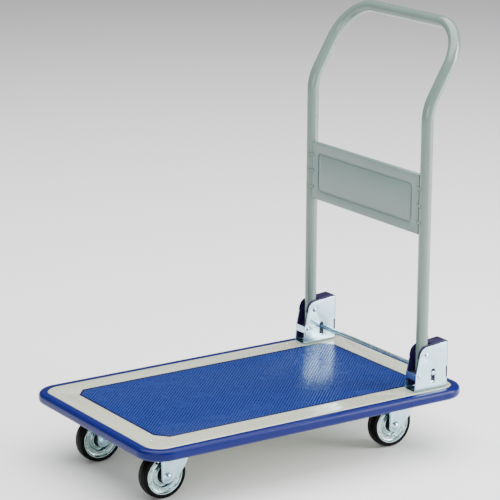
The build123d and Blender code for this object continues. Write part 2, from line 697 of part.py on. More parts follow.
def make_bracket():
    """A zinc-plated channel folded round the foot of the handle, drawn about its own middle."""
    outer = BRACKET_OUTER
    inner = BRACKET_GAP / 2
    bracket = slab(bracket_outline(BRACKET_BACK), -outer, outer)
    low_edges = bracket.edges().filter_by(Axis.X).group_by(Axis.Z)[0]
    bracket = fillet(low_edges, BRACKET_BEND_RADIUS)
    room = Pos(PIVOT_X, 0, WEB_TOP + 200) * Box(400, 2 * inner, 400)
    low_edges = room.edges().filter_by(Axis.X).group_by(Axis.Z)[0]
    bracket -= fillet(low_edges, BRACKET_BEND_RADIUS - BRACKET_SHEET)
    notch_middle = DECK_TOP + (BRACKET_NOTCH_LOW + BRACKET_NOTCH_HIGH) / 2
    notch_height = BRACKET_NOTCH_HIGH - BRACKET_NOTCH_LOW
    notch = Box(2 * BRACKET_NOTCH_DEPTH, 4 * outer, notch_height)
    bracket -= Pos(PIVOT_X - BRACKET_BACK, 0, notch_middle) * notch
    strip_x = PIVOT_X + BRACKET_KNEE_FORWARD - STRIP_SETBACK
    strip_middle = DECK_TOP + (STRIP_LOW + STRIP_HIGH) / 2
    strip = Box(BRACKET_SHEET, 2 * outer, STRIP_HIGH - STRIP_LOW)
    bracket += Pos(strip_x, 0, strip_middle) * strip
    bracket -= lock_slot(0, -2 * outer, 2 * outer)
    bracket -= cross_bar(PIVOT_PIN_RADIUS + FIT_CLEARANCE, -2 * outer, 2 * outer, PIVOT_X, PIVOT_Z)
    stop_x = PIVOT_X + STOP_PIN_FORWARD
    stop_z = PIVOT_Z - STOP_PIN_DROP
    bracket -= cross_bar(STOP_PIN_RADIUS + FIT_CLEARANCE, -2 * outer, 2 * outer, stop_x, stop_z)
    for x, y in bracket_bolt_places():
        bracket -= post(BRACKET_BOLT_RADIUS + FIT_CLEARANCE, DECK_TOP - 1, WEB_TOP + 1, x)
    guide = post(SPRING_GUIDE_RADIUS, WEB_TOP - 0.5, WEB_TOP + SPRING_GUIDE_HEIGHT, LOCK_BAR_X)
    return bracket + guide


def liner_outline(grow):
    """The side of a liner, standing a little proud of the bracket at its top and upper front."""
    face = bracket_outline(BRACKET_BACK)
    return offset(face, amount=grow) if grow else face


def make_liner():
    """A moulded liner between the tube and the bracket: two walls, a back and a rear cover."""
    outer = LINER_OUTER
    inner = LINER_INNER
    foot = DECK_TOP + LINER_FOOT
    rim_end = PIVOT_Z - LINER_RIM_DROP
    far_back = PIVOT_X - BRACKET_BACK - LINER_STANDOFF
    top = PIVOT_Z + BRACKET_TOP_RISE + LINER_STANDOFF
    proud = slab(liner_outline(LINER_STANDOFF), -outer, outer)
    flush = slab(liner_outline(0), -outer, outer)
    back_x = PIVOT_X - BRACKET_BACK
    upper = Pos(PIVOT_X, 0, rim_end + 200) * Box(400, 200, 400)
    rear = Pos(back_x - 50 + LINER_SHEET, 0, DECK_TOP + LINER_BACK_HEIGHT + 200) * Box(100, 200, 400)
    body = flush + (proud & upper) + (proud & rear)
    body -= Pos(PIVOT_X, 0, foot - 200) * Box(400, 200, 400)
    cover_front = PIVOT_X - LINER_COVER_FRONT
    cover_low = PIVOT_Z + LINER_COVER_UNDERSIDE
    wall_x = far_back + LINER_SHEET
    channel = Pos((wall_x + PIVOT_X + 100) / 2, 0, (foot + cover_low) / 2 - 50)
    room = channel * Box(PIVOT_X + 100 - wall_x, 2 * inner, cover_low - foot + 100)
    mouth = Pos((cover_front + PIVOT_X + 100) / 2, 0, cover_low)
    room += mouth * Box(PIVOT_X + 100 - cover_front, 2 * inner, 2 * (top - cover_low) + 20)
    body -= room
    below_back = DECK_TOP + LINER_BACK_HEIGHT
    body -= Pos(back_x, 0, below_back - 50) * Box(2 * LINER_STANDOFF + 2, 2 * outer + 2, 100)
    body -= lock_slot(LINER_CLEARANCE, -2 * outer, 2 * outer)
    body -= cross_bar(PIVOT_PIN_RADIUS + LINER_CLEARANCE, -2 * outer, 2 * outer, PIVOT_X, PIVOT_Z)
    stop_x = PIVOT_X + STOP_PIN_FORWARD
    stop_z = PIVOT_Z - STOP_PIN_DROP
    body -= cross_bar(STOP_PIN_RADIUS + LINER_CLEARANCE, -2 * outer, 2 * outer, stop_x, stop_z)
    strip_back = PIVOT_X + BRACKET_KNEE_FORWARD - STRIP_SETBACK - BRACKET_SHEET / 2 - LINER_CLEARANCE
    body -= Pos(strip_back + 10, 0, DECK_TOP + STRIP_HIGH + LINER_CLEARANCE - 50) * Box(20, 200, 100)
    return body


def headed_pin(radius, head_radius, head_height, x, z):
    """A pin across a bracket, with a dome outside each of its two sides."""
    outer = BRACKET_OUTER
    head = dome(head_radius, head_height)
    pin = cross_bar(radius, -outer, outer, x, z)
    pin += Pos(x, outer, z) * Rot(X=-90) * head
    return pin + Pos(x, -outer, z) * Rot(X=90) * head


def make_stop_sleeve():
    """The spacer round the stop pin, which the foot of the tube would meet."""
    x = PIVOT_X + STOP_PIN_FORWARD
    z = PIVOT_Z - STOP_PIN_DROP
    reach = LINER_INNER - SIDE_CLEARANCE
    sleeve = cross_bar(STOP_SLEEVE_RADIUS, -reach, reach, x, z)
    return sleeve - cross_bar(STOP_PIN_RADIUS + FIT_CLEARANCE, -2 * reach, 2 * reach, x, z)


def make_backing_plate():
    """The plate under the tray that spreads a bracket's load."""
    length = BACKING_FRONT + BACKING_BACK
    middle = PIVOT_X + (BACKING_FRONT - BACKING_BACK) / 2
    plate = Pos(middle, LEG_Y, TRAY_UNDERSIDE - BACKING_SHEET / 2) * Box(length, BACKING_WIDTH, BACKING_SHEET)
    for x, y in bracket_bolt_places():
        plate -= post(BRACKET_BOLT_RADIUS + FIT_CLEARANCE, TRAY_UNDERSIDE - 10, TRAY_UNDERSIDE + 1, x, y)
    for x, y in backing_rivet_places():
        plate -= post(DECK_RIVET_RADIUS + FIT_CLEARANCE, TRAY_UNDERSIDE - 10, TRAY_UNDERSIDE + 1, x, y)
    return plate


def make_bracket_bolt(x, y):
    """A round-headed bolt down through the bracket, the tray and the backing plate."""
    end = TRAY_UNDERSIDE - BACKING_SHEET - BRACKET_NUT_HEIGHT - 1
    bolt = post(BRACKET_BOLT_RADIUS, end, WEB_TOP, x, y)
    return bolt + Pos(x, y, WEB_TOP) * dome(BRACKET_BOLT_HEAD_RADIUS, BRACKET_BOLT_HEAD_HEIGHT)


# ---------------------------------------------------------------- lock bar
def make_lock_bar():
    """The bar across both brackets, pressed down with a foot."""
    reach = LEG_Y + BRACKET_OUTER + LOCK_BAR_OVERHANG
    bar = cross_bar(LOCK_BAR_RADIUS, -reach, reach, LOCK_BAR_X, LOCK_BAR_Z)
    return chamfer(bar.edges().filter_by(GeomType.CIRCLE), 0.8)


def make_lock_clip():
    """A retaining ring on the bar, just inside a liner's inner wall."""
    outside = LEG_Y - LINER_INNER + 2 * SIDE_CLEARANCE
    ring = cross_bar(LOCK_CLIP_RADIUS, outside, outside + LOCK_CLIP_THICKNESS, LOCK_BAR_X, LOCK_BAR_Z)
    return ring - cross_bar(LOCK_BAR_RADIUS + FIT_CLEARANCE, 0, 2 * LEG_Y, LOCK_BAR_X, LOCK_BAR_Z)


def make_spring():
    """The spring that lifts the bar, on its guide in the bracket."""
    low = WEB_TOP + SPRING_WIRE / 2 + FIT_CLEARANCE
    high = LOCK_BAR_Z - LOCK_BAR_RADIUS - SPRING_WIRE / 2 - FIT_CLEARANCE
    path = Helix(pitch=(high - low) / SPRING_TURNS, height=high - low, radius=SPRING_RADIUS)
    section = Plane(origin=path @ 0, z_dir=path % 0) * Circle(SPRING_WIRE / 2)
    return Pos(LOCK_BAR_X, LEG_Y, low) * sweep(section, path=path, is_frenet=True)


# ---------------------------------------------------------------- handle
def make_handle_tube():
    """One bent tube: up the right leg, back at the crank, across the grip and down the left leg."""
    foot = PIVOT_Z - TUBE_BELOW_PIVOT
    left = [(PIVOT_X, LEG_Y, foot), (PIVOT_X, LEG_Y, CRANK_Z), (GRIP_X, LEG_Y, GRIP_Z)]
    right = [(x, -y, z) for x, y, z in reversed(left)]
    bends = [CRANK_RADIUS, GRIP_CORNER_RADIUS, GRIP_CORNER_RADIUS, CRANK_RADIUS]
    path = FilletPolyline(*(left + right), radius=bends)
    end = Plane(origin=left[0], z_dir=(0, 0, 1))
    tube = sweep(end * Circle(TUBE_RADIUS), path=path)
    tube -= sweep(end * Circle(TUBE_RADIUS - TUBE_WALL), path=path)
    bore = BUSH_RADIUS + FIT_CLEARANCE
    for leg in (LEG_Y, -LEG_Y):
        tube -= cross_bar(bore, leg - TUBE_DIAMETER, leg + TUBE_DIAMETER, PIVOT_X, PIVOT_Z)
    return tube


def make_bush():
    """The cross tube in a leg that turns on the pivot pin."""
    reach = TUBE_RADIUS - FIT_CLEARANCE
    bush = cross_bar(BUSH_RADIUS, LEG_Y - reach, LEG_Y + reach, PIVOT_X, PIVOT_Z)
    bore = PIVOT_PIN_RADIUS + RUNNING_CLEARANCE
    return bush - cross_bar(bore, LEG_Y - TUBE_DIAMETER, LEG_Y + TUBE_DIAMETER, PIVOT_X, PIVOT_Z)


def make_end_plug():
    """The plug in the foot of a leg."""
    foot = PIVOT_Z - TUBE_BELOW_PIVOT
    cap = post(TUBE_RADIUS, foot - PLUG_CAP, foot, PIVOT_X, LEG_Y)
    return cap + post(TUBE_RADIUS - TUBE_WALL - FIT_CLEARANCE, foot, foot + PLUG_LENGTH, PIVOT_X, LEG_Y)


def make_panel():
    """A shallow pressed pan between the legs, open at the back, with a groove round its face."""
    width = 2 * (LEG_Y - TUBE_RADIUS - FIT_CLEARANCE)
    middle_z = PIVOT_Z + PANEL_BOTTOM + PANEL_HEIGHT / 2
    pan = Box(PANEL_DEPTH, width, PANEL_HEIGHT)
    pan = fillet(pan.edges().filter_by(Axis.Y).group_by(Axis.X)[-1], PANEL_EDGE_RADIUS)
    room = Box(PANEL_DEPTH, width - 2 * PANEL_SHEET, PANEL_HEIGHT - 2 * PANEL_SHEET)
    room = fillet(room.edges().filter_by(Axis.Y).group_by(Axis.X)[-1], PANEL_EDGE_RADIUS - PANEL_SHEET)
    pan -= Pos(-PANEL_SHEET, 0, 0) * room
    across = width - 2 * PANEL_GROOVE_END_MARGIN
    tall = PANEL_HEIGHT - 2 * PANEL_GROOVE_SIDE_MARGIN
    back = PANEL_DEPTH / 2 - PANEL_SHEET - PANEL_GROOVE_DEPTH
    pan += groove_ring(across, tall, back, PANEL_DEPTH / 2 - 0.2, 0)
    pan -= groove_ring(across, tall, back + PANEL_SHEET, PANEL_DEPTH / 2 + 1, PANEL_SHEET)
    return Pos(PIVOT_X + PANEL_FORWARD, 0, middle_z) * pan


def groove_ring(across, tall, low, high, inset):
    """A rounded rectangular ring facing +X, from x = low to x = high, thinner by inset each side."""
    radius = PANEL_GROOVE_RADIUS
    narrow = PANEL_GROOVE_WIDTH
    outer = RectangleRounded(across - 2 * inset, tall - 2 * inset, radius - inset)
    hole_across = across - 2 * narrow + 2 * inset
    hole_tall = tall - 2 * narrow + 2 * inset
    hole = RectangleRounded(hole_across, hole_tall, radius - narrow + inset)
    return extrude(Plane.YZ.offset(low) * (outer - hole), amount=high - low)


def make_panel_tab(step):
    """A strip on the panel's face that wraps round the front of the left leg, with a spot weld."""
    z = PIVOT_Z + PANEL_BOTTOM + PANEL_HEIGHT / 2 + step * PANEL_TAB_PITCH
    face_x = PIVOT_X + PANEL_FORWARD + PANEL_DEPTH / 2
    inner = TUBE_RADIUS + FIT_CLEARANCE
    ring = Circle(inner + PANEL_TAB_SHEET) - Circle(inner)
    start = math.degrees(math.asin((face_x - PIVOT_X) / inner))
    reach = 3 * TUBE_RADIUS
    first = (reach * math.sin(math.radians(start)), -reach * math.cos(math.radians(start)))
    end = start + PANEL_TAB_WRAP
    last = (reach * math.sin(math.radians(end)), -reach * math.cos(math.radians(end)))
    sector = ring & make_face(Polyline((0, 0), first, last, close=True))
    strip = Pos(PIVOT_X, LEG_Y, z - PANEL_TAB_HEIGHT / 2) * extrude(sector, amount=PANEL_TAB_HEIGHT)
    root_y = LEG_Y - inner * math.cos(math.radians(start))
    foot = Box(PANEL_TAB_SHEET, PANEL_TAB_LENGTH, PANEL_TAB_HEIGHT)
    tab = strip + Pos(face_x + PANEL_TAB_SHEET / 2, root_y - PANEL_TAB_LENGTH / 2, z) * foot
    spot = Pos(face_x + PANEL_TAB_SHEET, root_y - 0.6 * PANEL_TAB_LENGTH, z) * Rot(Y=90) * dome(2.0, 0.8)
    return tab + spot


# ---------------------------------------------------------------- the assembly
os.makedirs("parts", exist_ok=True)

write("platform_tray", [make_tray()])
write("edge_bumper", [make_bumper()])
write("deck_mat", [make_mat()])
write("front_cross_channel", [make_channel(RIGID_PLATE_X)])
write("rear_cross_channel", [make_channel(KINGPIN_X)])
rivets = [make_deck_rivet(x, y, CHANNEL_SHEET) for x, y in channel_rivet_places()]
rivets += [make_deck_rivet(x, y, BACKING_SHEET) for x, y in backing_rivet_places()]
write("deck_rivets", rivets)

all_caster_bolts = caster_bolt_places(RIGID_PLATE_X) + caster_bolt_places(KINGPIN_X)
nut = hex_nut(CASTER_NUT_FLATS, CASTER_NUT_HEIGHT, CASTER_BOLT_RADIUS + FIT_CLEARANCE)
write("caster_bolts", [make_caster_bolt(x, y) for x, y in all_caster_bolts])
write("caster_nuts", [Pos(x, y, PLATE_BOTTOM - CASTER_NUT_HEIGHT) * nut for x, y in all_caster_bolts])

bracket = make_bracket()
liner = make_liner()
pivot_pin = headed_pin(PIVOT_PIN_RADIUS, PIVOT_HEAD_RADIUS, PIVOT_HEAD_HEIGHT, PIVOT_X, PIVOT_Z)
stop_x = PIVOT_X + STOP_PIN_FORWARD
stop_z = PIVOT_Z - STOP_PIN_DROP
stop_pin = headed_pin(STOP_PIN_RADIUS, STOP_PIN_HEAD_RADIUS, STOP_PIN_HEAD_HEIGHT, stop_x, stop_z)
write("left_bracket", [Pos(0, LEG_Y, 0) * bracket])
write("right_bracket", [Pos(0, -LEG_Y, 0) * bracket])
write("left_bracket_liner", [Pos(0, LEG_Y, 0) * liner])
write("right_bracket_liner", [Pos(0, -LEG_Y, 0) * liner])
write("pivot_pins", [Pos(0, side * LEG_Y, 0) * pivot_pin for side in (1, -1)])
write("stop_pins", [Pos(0, side * LEG_Y, 0) * stop_pin for side in (1, -1)])
write("stop_pin_sleeves", [Pos(0, side * LEG_Y, 0) * make_stop_sleeve() for side in (1, -1)])
write("bracket_backing_plates", both_sides(make_backing_plate()))
write("bracket_bolts", [make_bracket_bolt(x, y) for x, y in bracket_bolt_places()])
nut = hex_nut(BRACKET_NUT_FLATS, BRACKET_NUT_HEIGHT, BRACKET_BOLT_RADIUS + FIT_CLEARANCE)
nut_z = TRAY_UNDERSIDE - BACKING_SHEET - BRACKET_NUT_HEIGHT
write("bracket_nuts", [Pos(x, y, nut_z) * nut for x, y in bracket_bolt_places()])

write("lock_bar", [make_lock_bar()])
write("lock_bar_clips", both_sides(make_lock_clip()))
write("lock_bar_springs", both_sides(make_spring()))

write("handle_tube", [make_handle_tube()])
write("handle_pivot_bushes", both_sides(make_bush()))
write("handle_end_plugs", both_sides(make_end_plug()))
write("handle_panel", [make_panel()])
tab_steps = [step - (PANEL_TAB_COUNT - 1) / 2 for step in range(PANEL_TAB_COUNT)]
write("handle_panel_tabs", [tab for step in tab_steps for tab in both_sides(make_panel_tab(step))])

write("front_axle_bolts", [at_axle(make_axle_bolt(), FRONT_AXLE_X, side) for side in (1, -1)])
write("front_axle_nuts", [at_axle(make_axle_nut(), FRONT_AXLE_X, side) for side in (1, -1)])
write("front_axle_sleeves", [at_axle(make_axle_sleeve(), FRONT_AXLE_X, side) for side in (1, -1)])
king_places = [Pos(KINGPIN_X, side * CASTER_Y, 0) for side in (1, -1)]
write("swivel_kingpins", [place * make_kingpin() for place in king_places])
write("swivel_balls", [place * ball for place in king_places for ball in make_balls()])

for name, side in (("left", 1), ("right", -1)):
    write(f"front_{name}_fork", [make_front_fork(side)])
    write(f"rear_{name}_top_plate", [make_rear_top_plate(side)])
    write(f"rear_{name}_fork", [make_rear_fork(side)])
    write(f"rear_{name}_axle_bolt", [at_axle(make_axle_bolt(), REAR_AXLE_X, side)])
    write(f"rear_{name}_axle_nut", [at_axle(make_axle_nut(), REAR_AXLE_X, side)])
    write(f"rear_{name}_axle_sleeve", [at_axle(make_axle_sleeve(), REAR_AXLE_X, side)])

disc = make_disc()
wheel_rivets = [make_disc_rivet(turn) for turn in range(DISC_RIVET_COUNT)]
for end, axle_x in (("front", FRONT_AXLE_X), ("rear", REAR_AXLE_X)):
    for name, side in (("left", 1), ("right", -1)):
        write(f"{end}_{name}_tyre", [at_axle(make_tyre(), axle_x, side)])
        write(f"{end}_{name}_wheel_discs", [at_axle(solid, axle_x, side) for solid in both_sides(disc)])
        write(f"{end}_{name}_wheel_rivets", [at_axle(rivet, axle_x, side) for rivet in wheel_rivets])
        write(f"{end}_{name}_hub_bearing", [at_axle(make_hub(), axle_x, side)])
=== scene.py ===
# %% [markdown]
# # A folding platform cart
# The cart was drawn first as a CAD model with real joints. This file dresses that model: it keeps
# every size and place, and gives each sheet, tube, casting and tyre the edges and the finish that
# a real one has. The first cell loads the CAD model. Each CAD part is called a node, and each
# group of nodes that moves together is called a body.

# %% Load the cart
import json
import math
import bmesh
import bpy
from mathutils import Matrix, Vector


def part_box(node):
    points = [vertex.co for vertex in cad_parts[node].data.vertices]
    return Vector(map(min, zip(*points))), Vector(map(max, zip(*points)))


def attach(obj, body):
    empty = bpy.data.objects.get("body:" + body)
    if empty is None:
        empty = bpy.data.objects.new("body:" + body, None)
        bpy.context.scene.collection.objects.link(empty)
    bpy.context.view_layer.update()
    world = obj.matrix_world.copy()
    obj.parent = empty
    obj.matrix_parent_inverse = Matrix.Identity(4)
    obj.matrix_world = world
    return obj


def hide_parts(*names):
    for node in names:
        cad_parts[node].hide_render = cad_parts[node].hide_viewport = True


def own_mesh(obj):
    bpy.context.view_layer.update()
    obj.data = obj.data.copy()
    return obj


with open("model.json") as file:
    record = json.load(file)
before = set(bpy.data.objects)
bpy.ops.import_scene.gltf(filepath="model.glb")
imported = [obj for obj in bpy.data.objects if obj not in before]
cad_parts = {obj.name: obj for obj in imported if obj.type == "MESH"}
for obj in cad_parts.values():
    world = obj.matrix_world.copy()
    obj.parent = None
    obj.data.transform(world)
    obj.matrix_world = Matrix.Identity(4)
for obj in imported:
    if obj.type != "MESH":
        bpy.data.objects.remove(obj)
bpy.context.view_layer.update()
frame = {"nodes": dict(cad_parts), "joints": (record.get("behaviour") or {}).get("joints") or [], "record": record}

MM = 0.001

# %% [markdown]
# ## Camera
# A long lens from well back keeps the legs of the handle nearly parallel, as in a catalogue
# picture. The camera is placed by its azimuth and elevation round a point over the deck, then
# moved sideways and up in its own plane, so that no lens shift is needed.

# %% Camera
AZIMUTH = math.radians(146.28)
ELEVATION = math.radians(15.0)
ROLL = math.radians(0.33)
DISTANCE = 4.8095
AIM_HEIGHT = 0.300
SLIDE_RIGHT = -0.0020
SLIDE_UP = 0.1372
SENSOR = 36.0
FOCAL_IN_WIDTHS = 4.6077


def deck_middle():
    """The middle of the deck on the floor: it lies ahead of the cart's own middle."""
    low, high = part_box("edge_bumper")
    return Vector(((low.x + high.x) / 2, 0, 0))


def camera_axes():
    """The camera's right, up and backward directions."""
    flat = math.cos(ELEVATION)
    back = Vector((math.sin(AZIMUTH) * flat, -math.cos(AZIMUTH) * flat, math.sin(ELEVATION)))
    right = Vector((0, 0, 1)).cross(back).normalized()
    up = back.cross(right)
    tilt = Matrix.Rotation(ROLL, 3, back)
    return tilt @ right, tilt @ up, back


right, up, back = camera_axes()
camera_data = bpy.data.cameras.new("camera")
camera_data.sensor_width = SENSOR
camera_data.lens = FOCAL_IN_WIDTHS * SENSOR
camera_data.clip_end = 50
camera = bpy.data.objects.new("camera", camera_data)
bpy.context.scene.collection.objects.link(camera)
aim = deck_middle() + Vector((0, 0, AIM_HEIGHT))
eye = aim + back * DISTANCE + right * SLIDE_RIGHT + up * SLIDE_UP
camera.matrix_world = Matrix.Translation(eye) @ Matrix((right, up, back)).transposed().to_4x4()
bpy.context.scene.camera = camera
print("camera stands at", [round(c, 3) for c in eye])

# %% [markdown]
# ## Shader arithmetic
# Materials here are procedural. They could be wired one node at a time, but a small class that
# wraps a node's output lets `mask * 0.3 + 0.2` write its own Math nodes. A finish is one Principled
# shader: what is the same all over is set on its sockets, and only what varies is linked.

# %% Shader arithmetic
class Wire:
    """An output of a shader node, with arithmetic that adds Math nodes."""

    def __init__(self, finish, socket):
        self.finish = finish
        self.socket = socket

    def maths(self, operation, *values):
        return self.finish.add("ShaderNodeMath", {"operation": operation}, dict(enumerate(values)))

    def __add__(self, other):
        return self.maths("ADD", self, other)

    def __mul__(self, other):
        return self.maths("MULTIPLY", self, other)

    def between(self, low, high):
        """0 below low, 1 above high, and smooth between them."""
        settings = {"interpolation_type": "SMOOTHSTEP"}
        inputs = {"Value": self, "From Min": low, "From Max": high}
        return self.finish.add("ShaderNodeMapRange", settings, inputs)

    __radd__ = __add__
    __rmul__ = __mul__


class Finish:
    """A material with one Principled shader, and a method that adds any other node."""

    def __init__(self, name, colour, **plain):
        self.material = bpy.data.materials.new(name)
        self.material.use_nodes = True
        self.tree = self.material.node_tree
        self.shader = self.tree.nodes["Principled BSDF"]
        self.shader.inputs["Base Color"].default_value = (*colour, 1)
        self.material.diffuse_color = (*colour, 1)
        for word, value in plain.items():
            socket = word.replace("_", " ").title().replace("Ior", "IOR")
            self.shader.inputs[socket].default_value = value

    def add(self, kind, settings=None, inputs=None, output=0):
        node = self.tree.nodes.new(kind)
        for setting, value in (settings or {}).items():
            setattr(node, setting, value)
        for socket, value in (inputs or {}).items():
            if isinstance(value, Wire):
                self.tree.links.new(value.socket, node.inputs[socket])
            else:
                node.inputs[socket].default_value = value
        return Wire(self, node.outputs[output])

    def feed(self, socket, wire):
        self.tree.links.new(wire.socket, self.shader.inputs[socket])

    def place(self, stretch=(1, 1, 1)):
        """Where a point lies on the cart, in metres, stretched for a pattern."""
        spot = self.add("ShaderNodeTexCoord", output="Object")
        return self.add("ShaderNodeMapping", None, {"Vector": spot, "Scale": stretch})

    def noise(self, size, detail=2.0, stretch=(1, 1, 1)):
        """Soft random blotches about `size` metres across."""
        inputs = {"Vector": self.place(stretch), "Scale": 1 / size, "Detail": detail}
        return self.add("ShaderNodeTexNoise", {"noise_dimensions": "3D"}, inputs)

    def blend(self, mask, first, second):
        """One colour where the mask is 0, the other where it is 1."""
        inputs = {0: mask}
        for socket, colour in ((6, first), (7, second)):
            inputs[socket] = colour if isinstance(colour, Wire) else (*colour, 1)
        return self.add("ShaderNodeMix", {"data_type": "RGBA"}, inputs, 2)

    def bump(self, height, depth):
        """Raise the surface by `depth` metres where `height` is 1."""
        self.feed("Normal", self.add("ShaderNodeBump", None, {"Distance": depth, "Height": height}, "Normal"))


# %% [markdown]
# ## Finishes
# Enamel is sprayed and baked, so it is glossy with a faint orange-peel ripple. Zinc plating is a
# bright metal with cloudy blue and straw patches and a fine grain. The bumper and liners are
# moulded plastics, and the tyres are solid rubber with a bloom of dust. Painted images could show
# all this too, but noise fits any shape without a seam. Ripples are a fraction of a millimetre,
# and blotches are centimetres.

# %% Finishes
def darker(colour, share):
    return tuple(channel * share for channel in colour)


PAINT_CLOUD = 0.12
PAINT_RUB = 0.006
ORANGE_PEEL = 0.0022
ORANGE_PEEL_DEPTH = 0.00006
ZINC_CLOUD = 0.022
ZINC_STRAW = 0.035
ZINC_STRAW_COLOUR = (0.82, 0.80, 0.70)
ZINC_GRAIN = 0.0009
ZINC_GRAIN_DEPTH = 0.000006
DUST_CLOUD = 0.05
GREY_DUST = (0.3, 0.3, 0.32)


def enamel(name, colour, roughness):
    """Baked paint: glossy, a little uneven in colour and shine, with an orange-peel ripple."""
    finish = Finish(name, colour, roughness=roughness, coat_weight=0.35, coat_roughness=0.12)
    cloud = finish.noise(PAINT_CLOUD, 3.0)
    finish.feed("Base Color", finish.blend(cloud.between(0.3, 0.75), darker(colour, 0.93), colour))
    rub = finish.noise(PAINT_RUB, 4.0, (1, 1, 0.35))
    finish.feed("Roughness", rub.between(0.35, 0.8) * 0.12 + (roughness - 0.04))
    finish.bump(finish.noise(ORANGE_PEEL, 1.0), ORANGE_PEEL_DEPTH)
    return finish.material


def zinc(name, colour, roughness):
    """Plated or bare steel: bright, cloudy, and straw-coloured in places."""
    finish = Finish(name, colour, metallic=1.0, roughness=roughness)
    cloud = finish.noise(ZINC_CLOUD, 3.0)
    straw = finish.noise(ZINC_STRAW, 2.0, (0.7, 1.3, 1))
    tint = finish.blend(cloud.between(0.35, 0.7), darker(colour, 0.88), colour)
    straw_mask = straw.between(0.52, 0.8) * 0.30
    finish.feed("Base Color", finish.blend(straw_mask, tint, ZINC_STRAW_COLOUR))
    grain = finish.noise(ZINC_GRAIN, 3.0)
    finish.feed("Roughness", grain * 0.07 + cloud * 0.09 + (roughness - 0.08))
    finish.bump(grain, ZINC_GRAIN_DEPTH)
    return finish.material


def moulded(name, colour, roughness, grain=0.0008, depth=0.00003, dust=GREY_DUST, dusting=0.05, shine=0.5):
    """Plastic or rubber: one colour, with patches of dust and a grain from its mould."""
    finish = Finish(name, colour, roughness=roughness, specular_ior_level=shine)
    cloud = finish.noise(DUST_CLOUD, 4.0)
    finish.feed("Base Color", finish.blend(cloud.between(0.45, 0.8) * dusting, colour, dust))
    finish.feed("Roughness", cloud * 0.16 + (roughness - 0.08))
    finish.bump(finish.noise(grain, 2.0), depth)
    return finish.material


CREAM = enamel("cream_enamel", (0.480, 0.500, 0.395), 0.24)
CHANNEL = enamel("channel_enamel", (0.480, 0.500, 0.430), 0.42)
SAGE = enamel("sage_enamel", (0.145, 0.205, 0.182), 0.20)
# Painted light: the panel has the same paint as the tube, and this lighter, greener copy of the handle enamel is
# set for the light that falls on the panel.
PANEL_SAGE_PAINTED_LIGHT = enamel("panel_enamel_painted_light", (0.150, 0.222, 0.204), 0.32)
ZINC = zinc("zinc_plate", (0.52, 0.75, 0.87), 0.24)
DISC_ZINC = zinc("wheel_disc_zinc", (0.48, 0.63, 0.64), 0.17)
SPRING = zinc("spring_steel", (0.30, 0.30, 0.31), 0.38)
BUMPER_BLUE = moulded(
    "bumper_vinyl", (0.002, 0.006, 0.095), 0.30, grain=0.0030, dust=(0.006, 0.016, 0.15), dusting=0.25,
    shine=0.18,
)
MAT_BLUE = moulded(
    "mat_vinyl", (0.001, 0.006, 0.060), 0.26, grain=0.0012, dust=(0.004, 0.014, 0.09), dusting=0.30,
    shine=0.18,
)
# Painted highlight: the grain is a lighter copy of the mat vinyl, so its tops read as lit against the darker
# sheet.
GRAIN_HIGHLIGHT_BLUE = moulded(
    "mat_grain_painted_highlight", (0.005, 0.030, 0.200), 0.30, grain=0.0012, depth=0.00002,
    dust=(0.010, 0.045, 0.25), dusting=0.30, shine=0.14,
)
LINER_NAVY = moulded("liner_plastic", (0.007, 0.002, 0.038), 0.42, dust=(0.03, 0.02, 0.08), shine=0.3)
BLACK = moulded("black_plastic", (0.006, 0.006, 0.007), 0.42)
RUBBER = moulded(
    "tyre_rubber", (0.001, 0.001, 0.001), 0.40, grain=0.0006, dust=(0.008, 0.007, 0.007), dusting=0.30,
    shine=0.07,
)
print(len(bpy.data.materials), "finishes")

FINISH_OF_SLOT = {
    "deck_paint": CREAM,
    "channel_paint": CHANNEL,
    "bumper_blue": BUMPER_BLUE,
    "mat_blue": MAT_BLUE,
    "handle_paint": SAGE,
    "zinc_plate": ZINC,
    "spring_steel": SPRING,
    "liner_plastic": LINER_NAVY,
    "black_plastic": BLACK,
    "tyre_rubber": RUBBER,
}
SLOT_OF_NODE = {part["node"]: part["material_slot"] for part in frame["record"]["subparts"]}
for node, thing in frame["nodes"].items():
    thing.data.materials.clear()
    thing.data.materials.append(FINISH_OF_SLOT[SLOT_OF_NODE[node]])

# %% [markdown]
# ## Ways to make a piece
# A piece is a mesh with its place in its vertices, which rides on a body, stands for the CAD
# nodes that it replaces and takes their finish. Cut steel never has a perfectly sharp edge, so
# `softened` copies a CAD node and rounds its sharp edges. `Recipe` runs a Geometry Nodes tree and
# keeps only the plain mesh, and `turned` spins an outline round an axle, as a lathe does.

# %% Piece makers
BODY_OF_NODE = {
    node: body for body, nodes in frame["record"]["behaviour"]["bodies"].items() for node in nodes
}
SMOOTH_ANGLE = math.radians(35)
SAME_POINT = 0.001 * MM
FLAT_ANGLE = math.radians(0.5)


def finished(name, mesh, finish, nodes, body=None):
    piece = bpy.data.objects.new(name, mesh)
    bpy.context.scene.collection.objects.link(piece)
    mesh.materials.clear()
    mesh.materials.append(finish)
    mesh.shade_smooth()
    mesh.set_sharp_from_angle(angle=SMOOTH_ANGLE)
    if nodes:
        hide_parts(*nodes)
    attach(piece, body or BODY_OF_NODE[nodes[0]])
    return piece


def softened(node, width, finish=None):
    """A copy of a CAD node with its sharp edges rounded over `width` metres."""
    form = bmesh.new()
    form.from_mesh(frame["nodes"][node].data)
    bmesh.ops.remove_doubles(form, verts=form.verts, dist=SAME_POINT)
    bmesh.ops.dissolve_limit(form, angle_limit=FLAT_ANGLE, verts=form.verts, edges=form.edges)
    shared = [edge for edge in form.edges if len(edge.link_faces) == 2]
    sharp = [edge for edge in shared if edge.calc_face_angle(0) > SMOOTH_ANGLE]
    rounding = {"offset": width, "segments": 2, "profile": 0.6}
    bmesh.ops.bevel(form, geom=sharp, affect="EDGES", clamp_overlap=True, **rounding)
    bmesh.ops.triangulate(form, faces=[face for face in form.faces if len(face.verts) > 4])
    mesh = bpy.data.meshes.new(node)
    form.to_mesh(mesh)
    form.free()
    return finished(node + "_finish", mesh, finish or FINISH_OF_SLOT[SLOT_OF_NODE[node]], [node])


